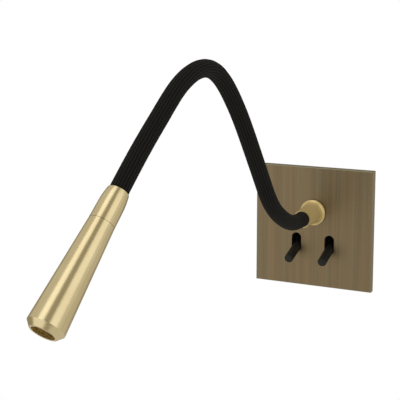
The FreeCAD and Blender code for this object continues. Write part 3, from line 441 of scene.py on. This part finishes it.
print("plate finish has", len(antique_brass.node_tree.nodes), "nodes")

# %% [markdown]
# ## Satin brass, turned
# The collar and the head are turned on a lathe and polished to satin. The tool
# leaves rings round the axis, so light runs along the head in sharp bands. The
# rings are 0.15 mm apart on the real one and are drawn at 0.3 mm. The collar
# is duller than the head: its side mirrors the dark plate, and a bright finish
# would turn it black.

# %% Finish of the head and the collar
LATHE_RINGS = (60.0, 60.0, 0.3)  # mm across, across and along the axis
BRASS_CLOUD = (9.0, 9.0, 14.0)
RING_GLOSS = 0.02  # how far the roughness strays either way


def turned_brass(name, dark, light, point, axis, roughness, metallic):
    """Satin brass with lathe rings round an axis through a point."""
    made = material(name, Metallic=metallic, Roughness=roughness)
    lay = axis.to_track_quat("Z", "Y").to_euler()
    rings = grain(made, LATHE_RINGS, at_point=point, turn=lay, detail=1.0)
    cloud = grain(made, BRASS_CLOUD, at_point=point, turn=lay)
    tint = add(made, "ValToRGB", {"Fac": cloud}, stops=[(0.3, dark), (0.7, light)])
    shine = add(made, "MapRange", {"Value": rings, "To Min": roughness - RING_GLOSS,
                                   "To Max": roughness + RING_GLOSS})
    relief = add(made, "Bump", {"Height": rings, "Strength": 0.025, "Distance": 0.01 * MM})
    link(made, Base_Color=tint.outputs["Color"], Roughness=shine.outputs["Result"],
         Normal=relief.outputs["Normal"])
    return made


head_frame = plain_route[neck_end]
HEAD_AXIS = head_frame.to_3x3() @ Vector((1, 0, 0))
head_brass = turned_brass("satin_brass_turned_head", "#ECDAAE", "#F4E4BA",
                          head_frame.translation * MM, HEAD_AXIS,
                          roughness=0.25, metallic=1.0)
collar_brass = turned_brass("satin_brass_turned_collar", "#F2D795", "#FBE6AA",
                            COLLAR_MOUTH * MM, Vector((0, -1, 0)),
                            roughness=0.38, metallic=0.45)
print("head points along", [round(x, 3) for x in HEAD_AXIS])

# %% [markdown]
# ## Black braid
# Each rib of the sleeve is a row of yarns that lean left and right in turn, so
# the eye sees small arrows along it. The pattern is worked out from the UV
# map: ribs from the turn round the tube, stitches from the distance along it.
# Yarn is matt, with a little sheen from its loose fibres. Its colour is painted
# darker in the grooves between the ribs and where the yarn lies low, as painted shade.

# %% Finish of the sleeve
STITCH = 1.3 * MM
black_braid = material("polyester_yarn_braided_black", Roughness=0.85, Sheen_Weight=0.03,
                       Sheen_Roughness=0.4, Specular_IOR_Level=0.2)
weave = add(black_braid, "UVMap", uv_map="along")
places = add(black_braid, "SeparateXYZ", {"Vector": weave.outputs["UV"]})
rib = add(black_braid, "Math", {0: places.outputs["X"], 1: float(SLEEVE_RIBS)},
          operation="MULTIPLY")
in_rib = add(black_braid, "Math", {0: rib.outputs[0], 1: 1.0}, operation="PINGPONG")
stitch = add(black_braid, "Math", {0: places.outputs["Y"], 1: 1 / STITCH}, operation="MULTIPLY")
lean = add(black_braid, "Math", {0: in_rib.outputs[0], 1: stitch.outputs[0]}, operation="ADD")
yarn = add(black_braid, "Math", {0: lean.outputs[0], 1: 0.5}, operation="PINGPONG")
fibre = grain(black_braid, (0.25, 0.25, 0.25))
height = add(black_braid, "Math", {0: fibre, 1: 0.4, 2: yarn.outputs[0]},
             operation="MULTIPLY_ADD")
relief = add(black_braid, "Bump", {"Height": height.outputs[0], "Strength": 0.8,
                                   "Distance": 0.25 * MM})
# Painted shade: the colour darkens from each rib's crest into its groove, and from high yarn to low yarn
rib_angle = add(black_braid, "Math", {0: rib.outputs[0], 1: 2 * math.pi}, operation="MULTIPLY")
groove_shade = add(black_braid, "Math", {0: rib_angle.outputs[0]}, operation="COSINE")
relief_shade = add(black_braid, "Math", {0: groove_shade.outputs[0], 1: 0.35, 2: height.outputs[0]},
          operation="MULTIPLY_ADD")
shade = add(black_braid, "ValToRGB", {"Fac": relief_shade.outputs[0]},
            stops=[(0.0, "#030303"), (0.9, "#272728")])
link(black_braid, Base_Color=shade.outputs["Color"], Normal=relief.outputs["Normal"])
print("stitches along the neck:", round(NECK_LENGTH * MM / STITCH))

# %% [markdown]
# ## Plastics, fibre and rubber
# The levers and the hidden mouldings come out of spark-eroded moulds, which
# leave a fine even grain. The washer, the grommet and the lead's sheath are as
# even at this size, so one recipe with other colours and grains does for all.

# %% Moulded parts
PLASTIC_CLOUD = (8.0, 8.0, 8.0)  # mm


def moulded(name, dark, light, roughness, grit_mm):
    """Plastic with a fine moulded grain."""
    made = material(name, Roughness=roughness, IOR=1.5)
    grit = grain(made, (grit_mm,) * 3)
    cloud = grain(made, PLASTIC_CLOUD)
    tint = add(made, "ValToRGB", {"Fac": cloud}, stops=[(0.3, dark), (0.7, light)])
    relief = add(made, "Bump", {"Height": grit, "Strength": 0.3, "Distance": 0.05 * MM})
    link(made, Base_Color=tint.outputs["Color"], Normal=relief.outputs["Normal"])
    return made


black_lever = moulded("nylon_moulded_black", "#08080A", "#0E0E0F", 0.55, 0.3)
switch_moulding = moulded("polycarbonate_moulded_black", "#232324", "#2E2E2F", 0.45, 0.3)
housing_moulding = moulded("abs_moulded_dark", "#26282A", "#2E3032", 0.5, 0.5)
fibre_washer = moulded("vulcanised_fibre_punched", "#1B1614", "#2A211C", 0.7, 0.2)
grommet_rubber = moulded("nitrile_rubber_moulded", "#141414", "#1E1E1E", 0.75, 0.4)
lead_sheath = moulded("silicone_sheath_extruded_black", "#151516", "#1F1F20", 0.5, 0.3)

# %% [markdown]
# ## Steel, nickel, contact brass and aluminium
# The hidden metal parts are punched, turned or plated. Rolled metal shows a
# faint grain along one direction, and zinc plating a soft cloud of crystals.

# %% Plain metals
METAL_GLOSS = 0.08  # how far the roughness strays either way


def metal(name, dark, light, roughness, size_mm):
    """Bare or plated metal with a grain of this size along three axes."""
    made = material(name, Metallic=1.0, Roughness=roughness)
    cloud = grain(made, size_mm, detail=3.0)
    tint = add(made, "ValToRGB", {"Fac": cloud}, stops=[(0.3, dark), (0.7, light)])
    shine = add(made, "MapRange", {"Value": cloud, "To Min": roughness - METAL_GLOSS,
                                   "To Max": roughness + METAL_GLOSS})
    relief = add(made, "Bump", {"Height": cloud, "Strength": 0.15, "Distance": 0.02 * MM})
    link(made, Base_Color=tint.outputs["Color"], Roughness=shine.outputs["Result"],
         Normal=relief.outputs["Normal"])
    return made


zinc_steel = metal("steel_zinc_plated", "#9EA3A6", "#C3C7C9", 0.35, (2.5, 2.5, 2.5))
wound_steel = metal("steel_strip_wound", "#85888B", "#A9ACAE", 0.4, (1.0, 1.0, 1.0))
contact_brass = metal("brass_stamped_contact", "#C9A65A", "#DDBD74", 0.32, (0.5, 0.5, 6.0))
magnet_nickel = metal("nickel_plated_magnet", "#BDB9B0", "#D3CFC6", 0.22, (1.5, 1.5, 1.5))
sink_aluminium = metal("aluminium_machined_bare", "#B4B6B8", "#CDCFD0", 0.35, (0.4, 4.0, 4.0))
board_aluminium = metal("aluminium_board_white_mask", "#D9DAD6", "#ECECE8", 0.5, (1.0, 1.0, 1.0))
reflector_metal = metal("brass_bright_turned_reflector", "#E8D6AC", "#F2E4C0", 0.42,
                        (3.0, 3.0, 0.4))

# %% [markdown]
# ## The driver's board
# The green circuit board comes in one node with its transformer and capacitor,
# so the finish tells them apart by where they are: what stands in front of the
# board is yellow-taped on the left and black-sleeved on the right. Copper
# tracks show through the green lacquer as paler lines.

# %% Finish of the circuit board
BOARD_THICKNESS = 1.2 * MM
TRACK_LENGTH = 4.0 * MM
JUST_BEFORE = 0.05 * MM
BOARD_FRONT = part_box("driver_board")[1].y - BOARD_THICKNESS

circuit_board = material("glass_epoxy_board_lacquered", Roughness=0.4, IOR=1.5)
board_spot = add(circuit_board, "TexCoord").outputs["Object"]
board_axes = add(circuit_board, "SeparateXYZ", {"Vector": board_spot})
tracks = add(circuit_board, "TexBrick", {"Vector": board_spot, "Scale": 1 / TRACK_LENGTH,
                                         "Mortar Size": 0.04, "Color1": colour("#1F5B34"),
                                         "Color2": colour("#235F3A"),
                                         "Mortar": colour("#4F8A55")})
is_front = add(circuit_board, "Math", {0: board_axes.outputs["Y"], 1: BOARD_FRONT - JUST_BEFORE},
               operation="LESS_THAN")
is_right = add(circuit_board, "Math", {0: board_axes.outputs["X"], 1: 0.0},
               operation="GREATER_THAN")
parts_tone = add(circuit_board, "MixRGB", {"Fac": is_right.outputs[0],
                                           "Color1": colour("#C9A93A"),
                                           "Color2": colour("#1D2230")})
board_tone = add(circuit_board, "MixRGB", {"Fac": is_front.outputs[0],
                                           "Color1": tracks.outputs["Color"],
                                           "Color2": parts_tone.outputs["Color"]})
link(circuit_board, Base_Color=board_tone.outputs["Color"])

# %% [markdown]
# ## The lamp chip and the lens
# The chip is a square of yellow phosphor under clear silicone, and it is off
# in daylight. The lens is clear acrylic with a faintly uneven moulded face.

# %% Finish of the chip and the lens
chip_phosphor = moulded("silicone_phosphor_cast", "#D9B83A", "#E6C95A", 0.3, 0.3)
lens_glass = material("acrylic_moulded_clear", Roughness=0.05, IOR=1.49, Transmission_Weight=1.0)
ripple = grain(lens_glass, (3.0, 3.0, 3.0))
lens_relief = add(lens_glass, "Bump", {"Height": ripple, "Strength": 0.1, "Distance": 0.02 * MM})
lens_tone = add(lens_glass, "ValToRGB", {"Fac": ripple},
                stops=[(0.2, "#F4F6F4"), (0.8, "#FFFFFF")])
link(lens_glass, Normal=lens_relief.outputs["Normal"], Base_Color=lens_tone.outputs["Color"])

# %% [markdown]
# ## Each part gets its finish
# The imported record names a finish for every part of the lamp. The satin brass
# is one finish there, but here the head and the collar each have their own,
# because their lathe rings run round different axes.

# %% Put the finishes on
FINISHES = {
    "antique_brass": antique_brass, "satin_brass": head_brass,
    "black_braid": black_braid, "wound_steel": wound_steel, "lead_sheath": lead_sheath,
    "black_lever": black_lever, "switch_moulding": switch_moulding,
    "housing_moulding": housing_moulding, "fibre_washer": fibre_washer,
    "grommet_rubber": grommet_rubber, "zinc_steel": zinc_steel,
    "contact_brass": contact_brass, "magnet_nickel": magnet_nickel,
    "sink_aluminium": sink_aluminium, "board_aluminium": board_aluminium,
    "reflector_metal": reflector_metal, "circuit_board": circuit_board,
    "chip_phosphor": chip_phosphor, "lens_glass": lens_glass,
}
for part in frame["record"]["subparts"]:
    finish = FINISHES[part["material_slot"]]
    if part["node"] == "neck_collar":
        finish = collar_brass
    for slot in nodes[part["node"]].material_slots:
        slot.material = finish
for pieces, finish in ((sleeve, black_braid), (core, wound_steel), (lead, lead_sheath)):
    for piece in pieces:
        piece.data.materials.append(finish)
print("finishes:", len(bpy.data.materials))

# %% [markdown]
# ## Floor, world and lights
# The photograph was taken on white, with soft boxes that draw bands on the
# brass. A pale floor lies well below the lamp. What the camera sees behind it
# is white, and what the metal mirrors is a dimmer and warmer room, which keeps
# the bands apart. The Standard view shows the colours as they are, like the
# plain photograph.

# %% Pale floor
FLOOR_RADIUS = 1.0
FLOOR_MIDDLE = (0, -0.1, -0.6)

floor_mesh = bmesh.new()
bmesh.ops.create_circle(floor_mesh, segments=64, radius=FLOOR_RADIUS, cap_ends=True)
bmesh.ops.translate(floor_mesh, vec=FLOOR_MIDDLE, verts=floor_mesh.verts)
floor = bpy.data.objects.new("floor", bpy.data.meshes.new("floor"))
floor_mesh.to_mesh(floor.data)
floor_mesh.free()
bpy.context.scene.collection.objects.link(floor)
paper = material("studio_paper_white", Roughness=0.9, Emission_Color=colour("#FFFFFF"),
                 Emission_Strength=0.1)
tooth = grain(paper, (3.0, 3.0, 3.0))
paper_tone = add(paper, "ValToRGB", {"Fac": tooth}, stops=[(0.3, "#EFEFEC"), (0.7, "#F6F6F4")])
link(paper, Base_Color=paper_tone.outputs["Color"])
floor.data.materials.append(paper)

# %% White world that metal sees dimmer
ROOM_LEVEL = 0.3
ROOM_TINT = "#FFF6DB"

world = bpy.data.worlds.new("studio")
world.use_nodes = True
bpy.context.scene.world = world
tree = world.node_tree
backdrop = tree.nodes["Background"]
path = tree.nodes.new("ShaderNodeLightPath")
level = tree.nodes.new("ShaderNodeMapRange")
level.inputs["To Min"].default_value = ROOM_LEVEL
tree.links.new(path.outputs["Is Camera Ray"], level.inputs["Value"])
tree.links.new(level.outputs["Result"], backdrop.inputs["Strength"])
tint = tree.nodes.new("ShaderNodeMixRGB")
tint.inputs["Color1"].default_value = colour(ROOM_TINT)
tint.inputs["Color2"].default_value = colour("#FFFFFF")
tree.links.new(path.outputs["Is Camera Ray"], tint.inputs["Fac"])
tree.links.new(tint.outputs["Color"], backdrop.inputs["Color"])
bpy.context.scene.view_settings.view_transform = "Standard"

# %% [markdown]
# ## Soft boxes by the turn they show at
# A round bar mirrors its surroundings as bands, so each box is placed by the
# band that it draws: where the camera looks straight at the head, the mirrored
# way is worked out, and the boxes stand round the head's axis from there. A
# strip draws the left band and a broad box the right one, each with dim cloth
# beside it. Three more fill the plate, the head's bevel and its mouth.

# %% Soft boxes round the head
BOX_DISTANCE = 1.2
BAND_LENGTH = 1.4
BANDS = (  # first and last turn in degrees to the right, radiance
    ("strip_upper_left", -64, -32, 0.85),
    ("wall_of_cloth_left", -130, -64, 0.25),
    ("broad_right", 8, 50, 0.66),
    ("broad_right_edge", 50, 75, 0.3),
    ("wall_of_cloth_right", 75, 125, 0.22),
)
FILLS = (  # the way to it from the head, width and height, radiance
    ("front_fill", (-0.523, -0.844, -0.12), 1.3, 1.2, 0.57),
    ("low_right_fill", (0.45, -0.5, -0.74), 0.6, 0.6, 0.45),
    ("mouth_fill", (-0.1, -0.66, -0.745), 0.45, 0.45, 0.9),
)
HEAD_HALFWAY = 40.0  # mm past the neck's end
HEAD_MIDDLE = (head_frame @ Vector((HEAD_HALFWAY, 0, 0))) * MM
TO_CAMERA = (CAMERA_PLACE - HEAD_MIDDLE).normalized()
FACING = (TO_CAMERA - TO_CAMERA.dot(HEAD_AXIS) * HEAD_AXIS).normalized()
MIRRORED = TO_CAMERA.reflect(FACING) * -1


def soft_box(name, way, along, width, height, radiance):
    """A soft box that faces the head, its height along a direction."""
    lamp = bpy.data.lights.new(name, "AREA")
    lamp.shape = "RECTANGLE"
    lamp.size, lamp.size_y = width, height
    lamp.energy = radiance * math.pi * width * height
    box = bpy.data.objects.new(name, lamp)
    bpy.context.scene.collection.objects.link(box)
    up = (along - along.dot(way) * way).normalized()
    turn = Matrix((up.cross(way), up, way)).transposed().to_4x4()
    box.matrix_world = Matrix.Translation(HEAD_MIDDLE + way * BOX_DISTANCE) @ turn


def band(name, first, last, radiance):
    """A soft box that the head mirrors between two turns round its axis, in
    degrees to the right of its middle line."""
    way = Matrix.Rotation(-math.radians((first + last) / 2), 3, HEAD_AXIS) @ MIRRORED
    width = 2 * BOX_DISTANCE * math.tan(math.radians(last - first) / 2)
    soft_box(name, way, HEAD_AXIS, width, BAND_LENGTH, radiance)


for name, first, last, radiance in BANDS:
    band(name, first, last, radiance)
for name, way, width, height, radiance in FILLS:
    soft_box(name, Vector(way), Vector((0, 0, 1)), width, height, radiance)
print("mirrored way:", [round(x, 2) for x in MIRRORED], "faces camera by",
      round(math.degrees(math.asin(TO_CAMERA.dot(HEAD_AXIS))), 1), "degrees")
